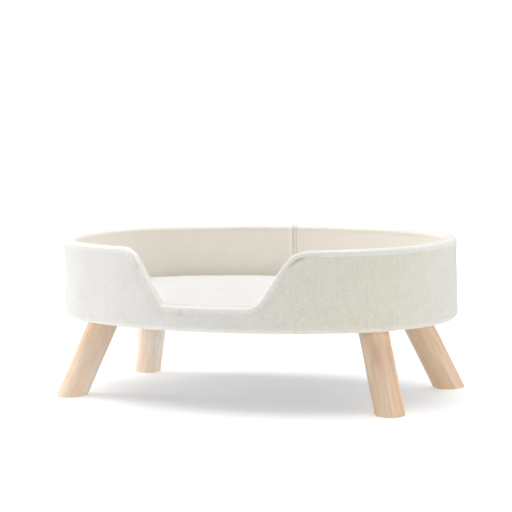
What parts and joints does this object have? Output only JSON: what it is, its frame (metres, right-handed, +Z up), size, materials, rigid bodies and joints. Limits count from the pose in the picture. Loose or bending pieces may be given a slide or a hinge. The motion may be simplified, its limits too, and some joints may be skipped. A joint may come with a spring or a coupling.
{
  "type": "cat bed",
  "caption": "Raised oval cat bed: a padded plush wall with a low front entrance round a loose cushion, on splayed round wooden legs.",
  "frame": {"origin": "on the floor below the middle of the oval tub", "axes": "+X to the right along the tub's length, +Y from the entrance to the back, +Z up"},
  "size_m": [0.5998, 0.3859, 0.228],
  "materials": {
    "plywood": "raw plywood",
    "hardboard": "raw hardboard",
    "staple_wire": "galvanised wire",
    "foam": "open-cell polyurethane foam",
    "outer_plush": "short-pile plush, off-white",
    "lining_plush": "short-pile plush, warm off-white",
    "rim_plush": "short-pile plush, off-white",
    "dust_cloth": "non-woven cloth",
    "cushion_plush": "short-pile plush, white",
    "cushion_cloth": "woven cotton cloth",
    "wadding": "polyester wadding",
    "leg_wood": "pale hardwood, clear matt",
    "zinc_steel": "zinc plated"
  },
  "bodies": {
    "bed": {"base_board": "plywood", "wall_board": "hardboard", "wall_joint_strip": "hardboard", "wall_staples": "staple_wire", "hem_staples": "staple_wire", "outer_foam": "foam", "inner_foam": "foam", "outer_cover": "outer_plush", "wall_lining": "lining_plush", "rim_band": "rim_plush", "floor_cover": "lining_plush", "dust_cover": "dust_cloth", "front_left_leg": "leg_wood", "front_left_bolt": "zinc_steel", "front_left_tee_nut": "zinc_steel", "front_right_leg": "leg_wood", "front_right_bolt": "zinc_steel", "front_right_tee_nut": "zinc_steel", "back_left_leg": "leg_wood", "back_left_bolt": "zinc_steel", "back_left_tee_nut": "zinc_steel", "back_right_leg": "leg_wood", "back_right_bolt": "zinc_steel", "back_right_tee_nut": "zinc_steel"},
    "cushion": {"cushion_cover": "cushion_plush", "cushion_underside": "cushion_cloth", "cushion_filling": "wadding"}
  },
  "joints": [
    {"name": "cushion_lift", "type": "slide", "parent": "bed", "child": "cushion", "axis": [0, 0, 1], "range_m": [0, 0.12]}
  ]
}
